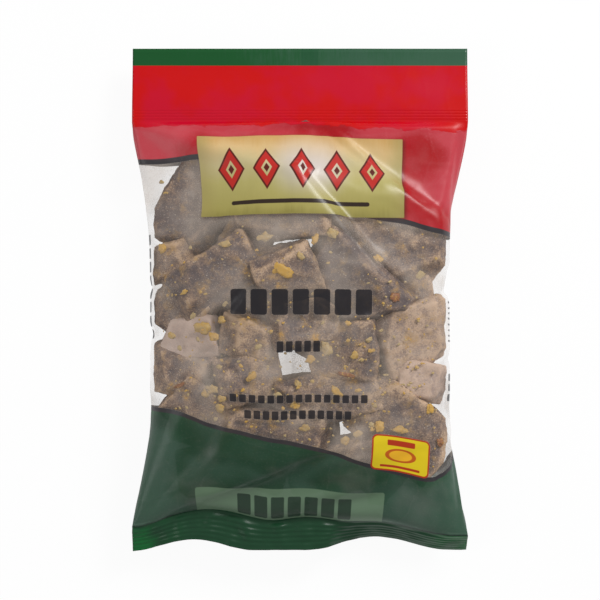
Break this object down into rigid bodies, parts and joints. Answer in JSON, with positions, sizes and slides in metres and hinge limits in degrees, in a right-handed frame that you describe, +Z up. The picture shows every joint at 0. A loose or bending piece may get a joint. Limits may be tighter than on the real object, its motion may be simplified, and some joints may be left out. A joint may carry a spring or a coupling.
{
  "type": "sealed pack of jaggery lumps",
  "caption": "Sealed clear film pillow pack filled with rough broken lumps of jaggery, with printed bands of colour at its head and foot, lying on its back.",
  "frame": {"origin": "the point on the ground under the middle of the pack, which lies on its back", "axes": "+X across the front from left to right, +Y along the pack from the foot seal to the header, +Z up and out of the printed front"},
  "size_m": [0.185, 0.278, 0.0545],
  "materials": {
    "printed_film": "clear, slightly milky film with opaque printed bands, soft gloss",
    "jaggery": "rough broken lumps of unrefined cane sugar, dull with a little wax-like sheen"
  },
  "bodies": {
    "root": {"jaggery_pack": "printed_film"}
  },
  "joints": []
}
